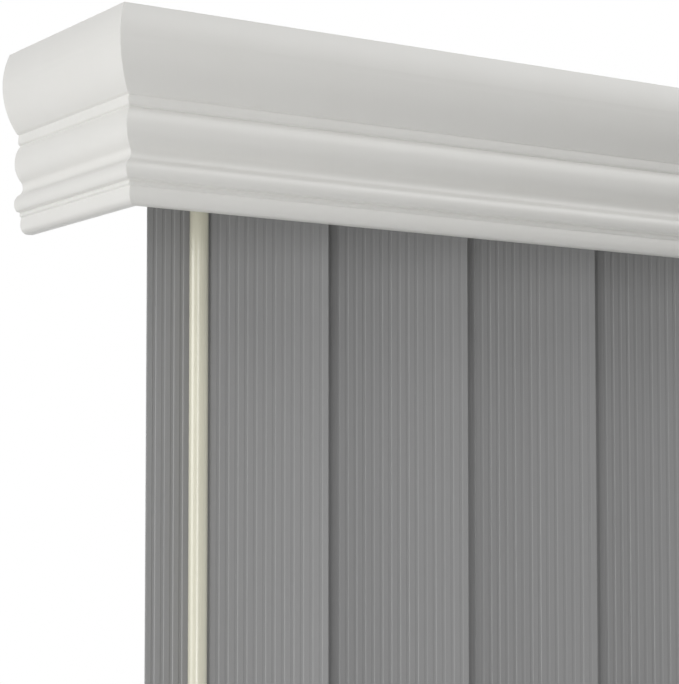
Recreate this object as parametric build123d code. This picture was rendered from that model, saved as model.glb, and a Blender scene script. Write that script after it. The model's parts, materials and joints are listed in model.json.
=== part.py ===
from build123d import *
import os
from math import asin, atan, cos, degrees, pi, radians, sin, sqrt

# A wand-operated vertical blind on two wall brackets, in millimetres and degrees.
# +X runs along the rail, +Y into the wall, +Z up. The wall is the plane Y = 0, and the
# origin is the middle of the four bracket screw holes.

# Blind as a whole
vane_count = 7
vane_pitch = 83.0
blind_drop = 914.0
stem_to_wall = 57.5
end_margin = 96.0
closed_angle = 16.0
cut_overrun = 5.0

# Vanes: bowed strips, grooved along the face to the room and plain behind
vane_width = 89.0
vane_thickness = 0.9
vane_bow = 4.2
groove_count = 19
groove_pitch = 4.55
groove_width = 1.6
groove_depth = 0.22
back_facets = 4
hang_slot_width = 12.0
hang_slot_height = 4.6
hang_slot_below_top = 6.4

# Valance: a solid moulding, mitred at both front corners
valance_height = 86.0
valance_depth = 123.0
valance_back = 16.5
moulding_relief = 11.0
keyway_width = 3.0
keyway_depth = 2.5
upper_keyway_drop = 8.0
lower_keyway_drop = 53.0

# Moulding outline: inset as a share of the relief, drop as a share of the height
crown_shares = [(0.327, 0.0), (0.0, 0.2035), (0.691, 0.442)]
fillet_shares = [(0.755, 0.449), (0.755, 0.491), (0.855, 0.508)]
belly_shares = [(0.595, 0.599), (0.9, 0.709)]
cove_shares = [(0.995, 0.744), (0.882, 0.776)]
torus_shares = [(0.555, 0.856), (0.682, 0.909)]
step_shares = [(0.891, 0.923), (0.891, 0.96)]
foot_shares = [(1.0045, 0.9887), (1.236, 1.0)]

# Valance corner keys and clips
key_leg = 25.0
key_gauge = 3.0
key_height = 40.0
clip_count = 3
clip_spacing = 220.0
valance_clip_width = 22.0
valance_clip_gauge = 1.6
valance_clip_grip = 7.5
valance_clip_foot = 4.0
clip_clearance = 0.2

# Wall brackets, rail clips and rivets
bracket_spacing = 300.0
bracket_width = 30.0
bracket_gauge = 2.0
bracket_reach = 76.0
bracket_leg = 42.0
bracket_bend = 4.0
bracket_top_to_screws = 22.0
valance_over_bracket = 3.0
screw_hole_pitch = 18.0
screw_hole_diameter = 5.0
rail_clip_width = 24.0
rail_clip_gauge = 1.2
rail_clip_clearance = 0.3
rivet_diameter = 4.0
rivet_head_diameter = 8.0
rivet_head_height = 1.2
rivet_tail_height = 1.0
rivet_room = 0.8
rivet_sides = 6

# Headrail: a channel with a slot along its underside and a lip each side of its top
rail_width = 44.0
rail_height = 30.0
rail_wall = 1.5
rail_lip = 2.0
rail_slot = 18.0
rail_end_room = 6.0
end_cap_gauge = 3.0
end_cap_plug = 8.0
end_cap_clearance = 0.3

# Tilt rod and worms
rod_flats = 6.0
rod_sides = 6
bearing_sides = 12
rod_clearance = 0.15
rod_bearing_clearance = 0.08
rod_hole_clearance = 0.3
worm_diameter = 9.0
worm_length = 11.4
worm_clearance = 0.3
worm_sides = 10
mesh_clearance = 0.2

# Carriers
carrier_length = 18.0
carrier_gap = 0.5
carrier_height = 19.2
carrier_wall = 2.3
carrier_floor = 4.2
glide_clearance = 0.3
wing_height = 3.0
wing_clearance = 0.7
neck_width = 16.0
neck_drop = 2.0

# Vane stems
gear_teeth = 8
gear_tip_diameter = 10.4
gear_tooth_depth = 1.5
gear_height = 5.0
gear_end_clearance = 0.2
pocket_clearance = 0.3
tooth_tip_share = 0.24
tooth_root_share = 0.52
journal_diameter = 3.6
journal_clearance = 0.08
flange_flats = 10.0
flange_sides = 8
flange_height = 1.2
flange_clearance = 0.3
leaf_width = 10.0
leaf_gauge = 1.6
leaf_length = 20.0
prong_width = 6.0
prong_gauge = 1.4
prong_length = 14.5
peg_width = 5.0
peg_height = 3.0
peg_clearance = 0.1
vane_side_clearance = 0.3
vane_below_flange = 4.0

# Spacer links, each sloping so that its neighbours lie one over another when stacked
link_width = 6.4
link_gauge = 0.4
link_tail = 6.0
link_lap = 3.0
link_rise = 2.8
link_clearance = 0.3
link_floor_clearance = 0.1
link_roof_clearance = 0.5
link_over_gear = 2.3

# Wand and its stem on the leading carrier
wand_gear_teeth = 12
wand_ahead = 22.0
wand_forward = 2.5
wand_diameter = 9.0
wand_wall = 1.2
wand_length = 610.0
wand_flange_flats = 9.0
eye_tab_width = 7.0
eye_tab_gauge = 2.8
eye_tab_length = 11.5
eye_below_flange = 7.5
hook_wire_diameter = 2.4
hook_half_span = 3.3
hook_bend = 1.5
hook_sides = 8
hook_tip = 3.0
hook_drop = 7.0
hook_gather = 3.0
hook_shank = 7.0
wand_cap_diameter = 9.2
wand_cap_head = 4.0
wand_cap_plug = 14.0
wand_cap_above = 3.0
wand_fit = 0.1
wand_cap_sides = 12
grip_flats = 11.4
grip_length = 60.0
grip_floor = 5.0
grip_bevel = 1.5
grip_sides = 12

# Places that follow from the sizes
stem_y = -stem_to_wall
lead_x = -(vane_count - 1) * vane_pitch / 2
valance_half = (vane_count - 1) * vane_pitch / 2 + end_margin
valance_top = bracket_top_to_screws + valance_over_bracket
valance_foot = valance_top - valance_height
valance_front_y = -valance_depth
valance_back_y = valance_front_y + valance_back
bracket_under = bracket_top_to_screws - bracket_gauge
rail_clip_under = bracket_under - rail_clip_gauge
rail_top = rail_clip_under - rivet_tail_height - rivet_room
rail_foot = rail_top - rail_height
rail_floor = rail_foot + rail_wall
rail_half = valance_half - valance_back - rail_end_room - end_cap_gauge
lip_half = rail_width / 2 + rail_lip
inner_half = rail_width / 2 - rail_wall
carrier_foot = rail_floor + glide_clearance
carrier_top = carrier_foot + carrier_height
neck_foot = rail_foot - neck_drop
pocket_floor = carrier_foot + carrier_floor
gear_foot = pocket_floor + gear_end_clearance
gear_top = gear_foot + gear_height
rod_z = (gear_foot + gear_top) / 2
rod_offset = gear_tip_diameter / 2 + worm_diameter / 2 + mesh_clearance
rod_corner = rod_flats / sqrt(3)
rod_half = rail_half + end_cap_gauge / 2
pocket_half = gear_tip_diameter / 2 + pocket_clearance
wand_gear_radius = rod_offset + wand_forward - worm_diameter / 2 - mesh_clearance
wand_pocket_half = wand_gear_radius + pocket_clearance
link_offset = pocket_half + carrier_wall + link_clearance + link_width / 2
link_slot_floor = gear_top + link_over_gear
link_slot_roof = link_slot_floor + link_floor_clearance + link_gauge + link_rise + link_roof_clearance
carrier_front = link_offset + link_width / 2 + link_clearance + carrier_wall
carrier_back = rod_offset + worm_diameter / 2 + worm_clearance + carrier_wall
flange_top = neck_foot - flange_clearance
flange_foot = flange_top - flange_height
vane_top = flange_foot - vane_below_flange
vane_foot = valance_top - blind_drop
hang_slot_top = vane_top - hang_slot_below_top
wand_x = lead_x - wand_ahead
wand_y = stem_y - wand_forward
eye_z = flange_foot - eye_below_flange
hook_end_z = eye_z - hook_drop - hook_gather - hook_shank
wand_cap_top = eye_z - hook_drop - hook_gather - wand_cap_above
wand_top = wand_cap_top - wand_cap_head
wand_foot = wand_top - wand_length


def block(x0, x1, y0, y1, z0, z1):
    """Rectangular solid between two opposite corners."""
    place = Pos((x0 + x1) / 2, (y0 + y1) / 2, (z0 + z1) / 2)
    return place * Box(x1 - x0, y1 - y0, z1 - z0)


def rail_section(points, x0, x1):
    """Solid of one outline of (y, z) points, drawn along X."""
    return extrude(Plane.YZ.offset(x0) * make_face(Polyline(*points, close=True)), x1 - x0)


def upright(radius, x, y, z0, z1):
    """Round solid standing along Z."""
    return Pos(x, y, (z0 + z1) / 2) * Cylinder(radius, z1 - z0)


def many_sided(flats, sides, x, y, z0, z1):
    """Prism of flat sides standing along Z, measured across its flats."""
    face = RegularPolygon(flats / 2, sides, major_radius=False)
    return extrude(Pos(x, y, z0) * face, z1 - z0)


def many_sided_bar(flats, sides, y, z, x0, x1):
    """Prism of flat sides lying along X, measured across its flats."""
    face = RegularPolygon(flats / 2, sides, major_radius=False)
    return extrude(Plane.YZ.offset(x0) * Pos(y, z) * face, x1 - x0)


def toothed_wheel(teeth, tip_radius, z0, z1):
    """Straight-toothed wheel about Z."""
    root_radius = tip_radius - gear_tooth_depth
    step = 2 * pi / teeth
    points = []
    for tooth in range(teeth):
        for radius, share in ((root_radius, -tooth_root_share), (tip_radius, -tooth_tip_share),
                              (tip_radius, tooth_tip_share), (root_radius, tooth_root_share)):
            angle = (tooth + share / 2) * step
            points.append((radius * cos(angle), radius * sin(angle)))
    return extrude(Pos(0, 0, z0) * make_face(Polyline(*points, close=True)), z1 - z0)


# Vane: an arc through the stem's axis, hollow side to the room
def vane():
    arc_radius = (vane_width ** 2 / 4 + vane_bow ** 2) / (2 * vane_bow)
    half_angle = asin(vane_width / 2 / arc_radius)
    front_radius = arc_radius - vane_thickness / 2
    back_radius = arc_radius + vane_thickness / 2
    flank = groove_width / 2 / arc_radius
    stations = [(-half_angle, front_radius)]
    for groove in range(groove_count):
        middle = (groove - (groove_count - 1) / 2) * groove_pitch / arc_radius
        stations.append((middle - flank, front_radius))
        stations.append((middle, front_radius + groove_depth))
        stations.append((middle + flank, front_radius))
    stations.append((half_angle, front_radius))
    for facet in range(back_facets + 1):
        stations.append((half_angle * (1 - 2 * facet / back_facets), back_radius))
    outline = [(radius * sin(angle), radius * cos(angle) - arc_radius) for angle, radius in stations]
    strip = extrude(Pos(0, 0, vane_foot) * make_face(Polyline(*outline, close=True)), vane_top - vane_foot)
    slot = block(-hang_slot_width / 2, hang_slot_width / 2, -cut_overrun, cut_overrun,
                 hang_slot_top - hang_slot_height, hang_slot_top)
    return strip - slot


# Vane stem: a gear, a journal, and a hanger whose peg goes through the vane's slot
def stem():
    near = vane_thickness / 2 + vane_side_clearance
    wheel = toothed_wheel(gear_teeth, gear_tip_diameter / 2, gear_foot, gear_top)
    journal = upright(journal_diameter / 2, 0, 0, flange_foot, gear_foot)
    flange = many_sided(flange_flats, flange_sides, 0, 0, flange_foot, flange_top)
    leaf = block(-leaf_width / 2, leaf_width / 2, near, near + leaf_gauge,
                 flange_foot - leaf_length, flange_foot)
    prong = block(-prong_width / 2, prong_width / 2, -near - prong_gauge, -near,
                  flange_foot - prong_length, flange_foot)
    peg_top = hang_slot_top - peg_clearance
    peg = block(-peg_width / 2, peg_width / 2, -near, vane_thickness / 2, peg_top - peg_height, peg_top)
    return wheel + journal + flange + leaf + prong + peg


# Carrier: glides on the rail's floor, with pockets for gear and worm, an open channel for the rod
# and a slot for the links
def carrier(x0, x1, seats):
    """Carrier body from x0 to x1; each seat is the place of one stem and the half width of its pocket."""
    body = block(x0, x1, -carrier_front, carrier_back, carrier_foot, carrier_top)
    wing = inner_half - wing_clearance
    body += block(x0, x1, -wing, wing, carrier_foot, carrier_foot + wing_height)
    body += block(x0, x1, -neck_width / 2, neck_width / 2, neck_foot, carrier_foot)
    worm_side = worm_diameter / 2 + worm_clearance
    worm_end = worm_length / 2 + worm_clearance
    for x, y, half in seats:
        body -= block(x - half, x + half, y - half, y + half, pocket_floor, carrier_top + cut_overrun)
        body -= upright(journal_diameter / 2 + journal_clearance, x, y, neck_foot - cut_overrun, pocket_floor)
        body -= block(x - worm_end, x + worm_end, rod_offset - worm_side, rod_offset + worm_side,
                      rod_z - worm_side, carrier_top + cut_overrun)
    rod_side = rod_corner + rod_hole_clearance
    body -= block(x0 - cut_overrun, x1 + cut_overrun, rod_offset - rod_side, rod_offset + rod_side,
                  rod_z - rod_side, carrier_top + cut_overrun)
    link_side = link_width / 2 + link_clearance
    body -= block(x0 - cut_overrun, x1 + cut_overrun, -link_offset - link_side, -link_offset + link_side,
                  link_slot_floor, link_slot_roof)
    return body


# Worm: a sleeve that slides along the six-sided rod and turns with it
def worm():
    flats = worm_diameter * cos(pi / worm_sides)
    sleeve = many_sided_bar(flats, worm_sides, rod_offset, rod_z, -worm_length / 2, worm_length / 2)
    bore_flats = rod_flats + 2 * rod_clearance
    bore = many_sided_bar(bore_flats, rod_sides, rod_offset, rod_z, -worm_length, worm_length)
    return sleeve - bore


# Spacer link: a sloping steel strip from one carrier through the slot of the next
def spacer_link():
    run = link_tail + vane_pitch + carrier_length / 2 + link_lap
    slope = degrees(atan(link_rise / run))
    strip = block(-run, 0, -link_offset - link_width / 2, -link_offset + link_width / 2, 0, link_gauge)
    return Pos(link_tail, 0, link_slot_floor + link_floor_clearance) * Rot(0, slope, 0) * strip


# Valance moulding: arcs and fillets drawn from the top edge down to the foot
def moulding_face():
    def place(share):
        return (valance_front_y + share[0] * moulding_relief, valance_top - share[1] * valance_height)

    crown = [place(share) for share in crown_shares]
    fillet = [place(share) for share in fillet_shares]
    belly = [place(share) for share in belly_shares]
    cove = [place(share) for share in cove_shares]
    torus = [place(share) for share in torus_shares]
    step = [place(share) for share in step_shares]
    foot = [place(share) for share in foot_shares]
    back_foot = (valance_back_y, valance_foot)
    back_top = (valance_back_y, valance_top)
    edges = [
        ThreePointArc(*crown),
        Polyline(crown[-1], *fillet),
        ThreePointArc(fillet[-1], *belly),
        ThreePointArc(belly[-1], *cove),
        ThreePointArc(cove[-1], *torus),
        Polyline(torus[-1], *step),
        ThreePointArc(step[-1], *foot),
        Polyline(foot[-1], back_foot, back_top, crown[0]),
    ]
    return make_face(edges)


def moulding(x0, x1):
    """Straight length of the moulding, with two keyways along its back."""
    length = extrude(Plane.YZ.offset(x0) * moulding_face(), x1 - x0)
    for drop in (upper_keyway_drop, lower_keyway_drop):
        middle = valance_top - drop
        length -= block(x0, x1, valance_back_y - keyway_depth, valance_back_y + cut_overrun,
                        middle - keyway_width / 2, middle + keyway_width / 2)
    return length


def plan_prism(points):
    """Upright prism of a plan outline, taller than the valance."""
    foot = valance_foot - cut_overrun
    height = valance_height + 2 * cut_overrun
    return extrude(Pos(0, 0, foot) * make_face(Polyline(*points, close=True)), height)


mitre = 2 * valance_back


def valance_front():
    plan = [(-valance_half, valance_front_y), (valance_half, valance_front_y),
            (valance_half - mitre, valance_front_y + mitre), (-valance_half + mitre, valance_front_y + mitre)]
    return moulding(-valance_half, valance_half) & plan_prism(plan)


def valance_return():
    """Left return: the moulding turned a quarter about the corner, out to the wall."""
    corner = Pos(-valance_half, valance_front_y, 0)
    turned = corner * Rot(0, 0, -90) * Pos(0, valance_depth, 0) * moulding(-valance_depth, 0)
    plan = [(-valance_half, valance_front_y), (-valance_half + mitre, valance_front_y + mitre),
            (-valance_half + mitre, 0), (-valance_half, 0)]
    return turned & plan_prism(plan)


def corner_key():
    """Angle behind the left mitre, against both backs."""
    inner = -valance_half + valance_back
    middle = valance_top - valance_height / 2
    low = middle - key_height / 2
    high = middle + key_height / 2
    along = block(inner, inner + key_leg, valance_back_y, valance_back_y + key_gauge, low, high)
    across = block(inner, inner + key_gauge, valance_back_y, valance_back_y + key_leg, low, high)
    return along + across


# Valance clip: grips the rail's front lip and holds the moulding by its two keyways
def valance_clip():
    lip_y = stem_y - lip_half
    roof = rail_top + clip_clearance
    jaw_y = lip_y - clip_clearance
    jaw_under = rail_top - rail_wall - clip_clearance
    leg_y = valance_back_y + clip_clearance / 2
    upper = valance_top - upper_keyway_drop
    lower = valance_top - lower_keyway_drop
    tongue = keyway_width / 2 - clip_clearance
    tongue_y = valance_back_y - keyway_depth + clip_clearance
    gauge = valance_clip_gauge
    hook_y = lip_y + rail_lip - rail_clip_clearance
    outline = [
        (lip_y + valance_clip_grip, roof), (lip_y + valance_clip_grip, roof + gauge),
        (leg_y, roof + gauge), (leg_y, upper + tongue), (tongue_y, upper + tongue),
        (tongue_y, upper - tongue), (leg_y, upper - tongue), (leg_y, lower + tongue),
        (tongue_y, lower + tongue), (tongue_y, lower - tongue),
        (leg_y, lower - tongue), (leg_y, lower - valance_clip_foot),
        (leg_y + gauge, lower - valance_clip_foot), (leg_y + gauge, roof),
        (jaw_y - gauge, roof), (jaw_y - gauge, jaw_under - gauge), (hook_y, jaw_under - gauge),
        (hook_y, jaw_under), (jaw_y, jaw_under), (jaw_y, roof),
    ]
    return rail_section(outline, -valance_clip_width / 2, valance_clip_width / 2)


# Headrail and its end caps
def headrail():
    half = rail_width / 2
    slot = rail_slot / 2
    ceiling = rail_top - rail_wall
    right = [(lip_half, rail_top), (lip_half, ceiling), (half, ceiling), (half, rail_foot), (slot, rail_foot),
             (slot, rail_floor), (inner_half, rail_floor), (inner_half, ceiling)]
    left = [(-y, z) for y, z in right[::-1]]
    outline = [(stem_y + y, z) for y, z in right + left]
    return rail_section(outline, -rail_half, rail_half)


def end_cap():
    """Left end cap: a plate, a plug inside the rail and the rod's bearing."""
    plate = block(-rail_half - end_cap_gauge, -rail_half, stem_y - lip_half, stem_y + lip_half,
                  rail_foot, rail_top)
    reach = inner_half - end_cap_clearance
    plug = block(-rail_half, -rail_half + end_cap_plug, stem_y - reach, stem_y + reach,
                 rail_floor + end_cap_clearance, rail_top - rail_wall - end_cap_clearance)
    bearing_flats = 2 * (rod_corner + rod_bearing_clearance)
    bearing = many_sided_bar(bearing_flats, bearing_sides, stem_y + rod_offset, rod_z,
                             -rod_half - rod_bearing_clearance, -rail_half + end_cap_plug + cut_overrun)
    return plate + plug - bearing


def rivet_hole():
    """Cutter for the hole through bracket and rail clip."""
    foot = rail_clip_under - cut_overrun
    return many_sided(rivet_diameter, rivet_sides, 0, stem_y, foot, bracket_top_to_screws + cut_overrun)


# Wall bracket: a bent strip with two screw holes in its upright leg
def wall_bracket():
    top = bracket_top_to_screws
    inner = -bracket_gauge
    corner = -bracket_bend
    reach = -bracket_reach
    slant = sin(pi / 4)
    bend_foot = top - bracket_bend
    outer = bracket_bend * slant
    tight = (bracket_bend - bracket_gauge) * slant
    outline = [
        Line((reach, top), (corner, top)),
        ThreePointArc((corner, top), (corner + outer, bend_foot + outer), (0, bend_foot)),
        Polyline((0, bend_foot), (0, top - bracket_leg), (inner, top - bracket_leg), (inner, bend_foot)),
        ThreePointArc((inner, bend_foot), (corner + tight, bend_foot + tight), (corner, top + inner)),
        Polyline((corner, top + inner), (reach, top + inner), (reach, top)),
    ]
    half = bracket_width / 2
    bracket = extrude(Plane.YZ.offset(-half) * make_face(outline), bracket_width)
    for side in (-1, 1):
        hole = Cylinder(screw_hole_diameter / 2, bracket_gauge * cut_overrun)
        bracket -= Pos(0, 0, side * screw_hole_pitch / 2) * Rot(90, 0, 0) * hole
    return bracket - rivet_hole()


def rail_clip():
    """Spring clip under the bracket that holds both lips of the rail."""
    jaw = lip_half + rail_clip_clearance
    hook = rail_width / 2 + rail_clip_clearance
    hook_top = rail_top - rail_wall - rail_clip_clearance
    gauge = rail_clip_gauge
    right = [(jaw + gauge, bracket_under), (jaw + gauge, hook_top - gauge), (hook, hook_top - gauge),
             (hook, hook_top), (jaw, hook_top), (jaw, rail_clip_under)]
    left = [(-y, z) for y, z in right[::-1]]
    outline = [(stem_y + y, z) for y, z in right + left]
    clip = rail_section(outline, -rail_clip_width / 2, rail_clip_width / 2)
    return clip - rivet_hole()


def rivet():
    top = bracket_top_to_screws
    shank = many_sided(rivet_diameter, rivet_sides, 0, stem_y, rail_clip_under, top)
    head = many_sided(rivet_head_diameter, rivet_sides, 0, stem_y, top, top + rivet_head_height)
    foot = rail_clip_under - rivet_tail_height
    tail = many_sided(rivet_head_diameter, rivet_sides, 0, stem_y, foot, rail_clip_under)
    return shank + head + tail


# Wand: its geared stem, the wire hook in the stem's eye, the end cap, the tube and the grip
def wand_stem():
    wheel = toothed_wheel(wand_gear_teeth, wand_gear_radius, gear_foot, gear_top)
    journal = upright(journal_diameter / 2, 0, 0, flange_foot, gear_foot)
    flange = many_sided(wand_flange_flats, flange_sides, 0, 0, flange_foot, flange_top)
    tab = block(-eye_tab_width / 2, eye_tab_width / 2, -eye_tab_gauge / 2, eye_tab_gauge / 2,
                flange_foot - eye_tab_length, flange_foot)
    eye = Pos(0, 0, eye_z) * Rot(90, 0, 0) * Cylinder(hook_wire_diameter / 2 + journal_clearance, cut_overrun)
    return wheel + journal + flange + tab - eye


def wand_hook():
    """Bent wire: a short tip, a bar through the eye, and a shank gathered back to the wand's axis."""
    span = hook_half_span
    bend = hook_bend
    neck = eye_z - hook_drop
    path = Polyline((0, -span, eye_z - hook_tip), (0, -span, eye_z - bend), (0, bend - span, eye_z),
                    (0, span - bend, eye_z), (0, span, eye_z - bend), (0, span, neck),
                    (0, 0, neck - hook_gather), (0, 0, hook_end_z))
    wire = RegularPolygon(hook_wire_diameter / 2, hook_sides)
    return sweep(Plane(origin=path @ 0, z_dir=path % 0) * wire, path=path, transition=Transition.RIGHT)


def wand_cap():
    head = many_sided(wand_cap_diameter, wand_cap_sides, 0, 0, wand_top, wand_cap_top)
    plug_flats = (wand_diameter - 2 * (wand_wall + wand_fit)) * cos(pi / wand_cap_sides)
    plug = many_sided(plug_flats, wand_cap_sides, 0, 0, wand_top - wand_cap_plug, wand_top)
    bore_flats = hook_wire_diameter + 2 * wand_fit
    bore = many_sided(bore_flats, hook_sides, 0, 0, hook_end_z - wand_fit, wand_cap_top + cut_overrun)
    return head + plug - bore


def wand_tube():
    tube = upright(wand_diameter / 2, 0, 0, wand_foot, wand_top)
    return tube - upright(wand_diameter / 2 - wand_wall, 0, 0, wand_foot, wand_top)


def wand_grip():
    foot = wand_foot - grip_floor
    grip = many_sided(grip_flats, grip_sides, 0, 0, foot, foot + grip_length)
    ends = grip.faces().sort_by(Axis.Z)[0].edges() + grip.faces().sort_by(Axis.Z)[-1].edges()
    grip = chamfer(ends, grip_bevel)
    socket_flats = wand_diameter + 2 * wand_fit
    rim = foot + grip_length + cut_overrun
    return grip - many_sided(socket_flats, wand_cap_sides, 0, 0, wand_foot - wand_fit, rim)


def mirrored(shape):
    """The right-hand twin of a left-hand piece."""
    return mirror(shape, about=Plane.YZ)


os.makedirs("parts", exist_ok=True)
nodes = {}

nodes["headrail"] = headrail()
nodes["end_cap_left"] = end_cap()
nodes["end_cap_right"] = mirrored(nodes["end_cap_left"])
nodes["tilt_rod"] = many_sided_bar(rod_flats, rod_sides, stem_y + rod_offset, rod_z, -rod_half, rod_half)

bracket = wall_bracket()
spring_clip = rail_clip()
for name, side in (("left", -1), ("right", 1)):
    place = Pos(side * bracket_spacing / 2, 0, 0)
    nodes["wall_bracket_" + name] = place * bracket
    nodes["rail_clip_" + name] = place * spring_clip
nodes["clip_rivets"] = Compound([Pos(side * bracket_spacing / 2, 0, 0) * rivet() for side in (-1, 1)])

nodes["valance_front"] = valance_front()
nodes["valance_return_left"] = valance_return()
nodes["valance_return_right"] = mirrored(nodes["valance_return_left"])
nodes["corner_key_left"] = corner_key()
nodes["corner_key_right"] = mirrored(nodes["corner_key_left"])
holder = valance_clip()
for index in range(clip_count):
    offset = (index - (clip_count - 1) / 2) * clip_spacing
    nodes["valance_clip_" + str(index + 1)] = Pos(offset, 0, 0) * holder

half_length = carrier_length / 2
plain_seat = (0, 0, pocket_half)
wand_seat = (-wand_ahead, -wand_forward, wand_pocket_half)
plain_carrier = carrier(-half_length, half_length, [plain_seat])
lead_carrier = carrier(-wand_ahead - half_length, half_length, [plain_seat, wand_seat])
vane_strip = vane()
vane_stem = stem()
sleeve = worm()
link = spacer_link()
for index in range(vane_count):
    number = str(index + 1)
    axis = Pos(lead_x + index * vane_pitch, stem_y, 0)
    turned = axis * Rot(0, 0, -closed_angle)
    nodes["carrier_" + number] = axis * (plain_carrier if index else lead_carrier)
    nodes["vane_stem_" + number] = turned * vane_stem
    nodes["worm_" + number] = axis * sleeve
    nodes["vane_" + number] = turned * vane_strip
    if index:
        nodes["spacer_link_" + number] = axis * link

wand_axis = Pos(wand_x, wand_y, 0)
nodes["wand_stem"] = wand_axis * wand_stem()
nodes["wand_worm"] = Pos(wand_x, stem_y, 0) * sleeve
nodes["wand_hook"] = wand_axis * wand_hook()
nodes["wand_cap"] = wand_axis * wand_cap()
nodes["wand_tube"] = wand_axis * wand_tube()
nodes["wand_grip"] = wand_axis * wand_grip()

for name, solid in nodes.items():
    export_step(solid, "parts/" + name + ".step")
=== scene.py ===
"""Looks of a wand-operated vertical blind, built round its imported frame.

+X runs along the headrail, +Y into the wall and +Z up, in metres.
"""

import json

import bmesh
import bpy
import numpy as np
from bpy.props import FloatProperty, FloatVectorProperty, IntProperty, PointerProperty
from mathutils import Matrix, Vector


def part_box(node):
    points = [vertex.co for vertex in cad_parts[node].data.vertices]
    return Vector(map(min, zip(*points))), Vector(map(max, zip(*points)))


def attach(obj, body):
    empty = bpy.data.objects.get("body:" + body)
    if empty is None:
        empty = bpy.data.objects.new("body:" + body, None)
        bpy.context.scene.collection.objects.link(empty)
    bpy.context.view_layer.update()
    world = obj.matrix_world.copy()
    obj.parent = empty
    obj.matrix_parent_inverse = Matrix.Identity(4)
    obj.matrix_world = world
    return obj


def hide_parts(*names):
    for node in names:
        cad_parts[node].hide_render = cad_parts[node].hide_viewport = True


bl_info = {
    "name": "Vertical Blind",
    "version": (1, 0, 0),
    "blender": (4, 5, 0),
    "location": "3D View > Sidebar > Blind",
    "description": "Valance, vanes, wand and fittings of a vertical blind, with a studio round them",
    "category": "Object",
}

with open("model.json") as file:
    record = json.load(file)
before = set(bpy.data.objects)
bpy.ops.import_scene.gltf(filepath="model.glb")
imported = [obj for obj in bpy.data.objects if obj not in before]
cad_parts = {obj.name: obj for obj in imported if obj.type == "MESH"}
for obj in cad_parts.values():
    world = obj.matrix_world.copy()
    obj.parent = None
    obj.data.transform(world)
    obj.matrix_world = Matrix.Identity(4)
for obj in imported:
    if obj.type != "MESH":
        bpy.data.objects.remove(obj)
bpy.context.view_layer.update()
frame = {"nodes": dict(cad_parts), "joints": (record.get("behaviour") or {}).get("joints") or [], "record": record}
NODES = frame["nodes"]
VALANCE_LOW, VALANCE_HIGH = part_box("valance_front")
RETURN_LOW, RETURN_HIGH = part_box("valance_return_left")
RAIL_LOW, RAIL_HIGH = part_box("headrail")
WORM_LOW, WORM_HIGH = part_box("worm_1")
TUBE_LOW, TUBE_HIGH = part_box("wand_tube")
CAP_LOW, CAP_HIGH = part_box("wand_cap")
GRIP_LOW, GRIP_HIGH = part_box("wand_grip")
VANE_LOW, VANE_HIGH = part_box("vane_1")
VANE_NODES = sorted(name for name in NODES if name.startswith("vane_") and "stem" not in name)
WORM_NODES = sorted(name for name in NODES if "worm" in name)

# Fineness of the surfaces
OUTLINE_STEP = 0.0002
HOOK_STEP = 0.0002
ARC_POINTS = 60
ROUND_POINTS = 7
EDGE_POINTS = 9
GROOVE_STATIONS = 48
TUBE_COLUMNS = 72
CAP_COLUMNS = 64
GRIP_COLUMNS = 96
WIRE_COLUMNS = 16
WORM_COLUMNS = 60
WORM_RINGS = 64
FLOOR_SQUARES = 12

# Grooves' unevenness: amount, then its turn from groove to groove and from vane to vane
UNEVENNESS = ((0.22, 2.399, 1.7), (0.12, 5.1, 1.0))

# Lamps: name, power and the share of it, degrees to the left and upwards, width, height and distance
LAMPS = (
    ("key", "key_power", 0.5, 47, 5, 0.25, 0.9, 1.3),
    ("low", "key_power", 0.5, 48, -15, 0.25, 0.25, 1.3),
    ("side", "side_power", 0.72, 105, 12, 1.4, 2.4, 3),
    ("high", "side_power", 0.28, 75, 40, 1.4, 1.4, 3),
    ("top", "top_power", 1, -30, 64, 1.2, 0.8, 1),
    ("front", "front_power", 1, -45, 45, 1.2, 1.2, 1.6),
    ("back", "back_power", 1, -150, 35, 1.8, 1.8, 3),
)
LAMP_AIM = Vector((0.0, -0.1, -0.2))


# Sizes and colours

COLOUR = {"subtype": "COLOR", "size": 3, "min": 0, "max": 1}


class ValanceLook(bpy.types.PropertyGroup):
    """Crown-moulded valance, mitred at both front corners."""

    height: FloatProperty(name="Height", description="From top edge to foot", unit="LENGTH",
                          default=VALANCE_HIGH.z - VALANCE_LOW.z)
    depth: FloatProperty(name="Depth", description="From the wall to the moulding's face", unit="LENGTH",
                         default=RETURN_HIGH.y - RETURN_LOW.y)
    back: FloatProperty(name="Thickness", description="From the moulding's face to its back", unit="LENGTH",
                        default=0.0165)
    relief: FloatProperty(name="Relief", description="Depth of the moulding's relief", unit="LENGTH", default=0.011)
    edge: FloatProperty(name="Edge", description="Softness of the moulded edges", unit="LENGTH", default=0.0003)
    mitre_edge: FloatProperty(name="Mitre edge", description="Easing of the edges along the mitre", unit="LENGTH",
                              default=0.00018)
    colour: FloatVectorProperty(name="Colour", description="Off-white of the moulding",
                                default=(0.80, 0.795, 0.77), **COLOUR)
    roughness: FloatProperty(name="Roughness", description="Satin of the surface", subtype="FACTOR", default=0.34)


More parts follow.
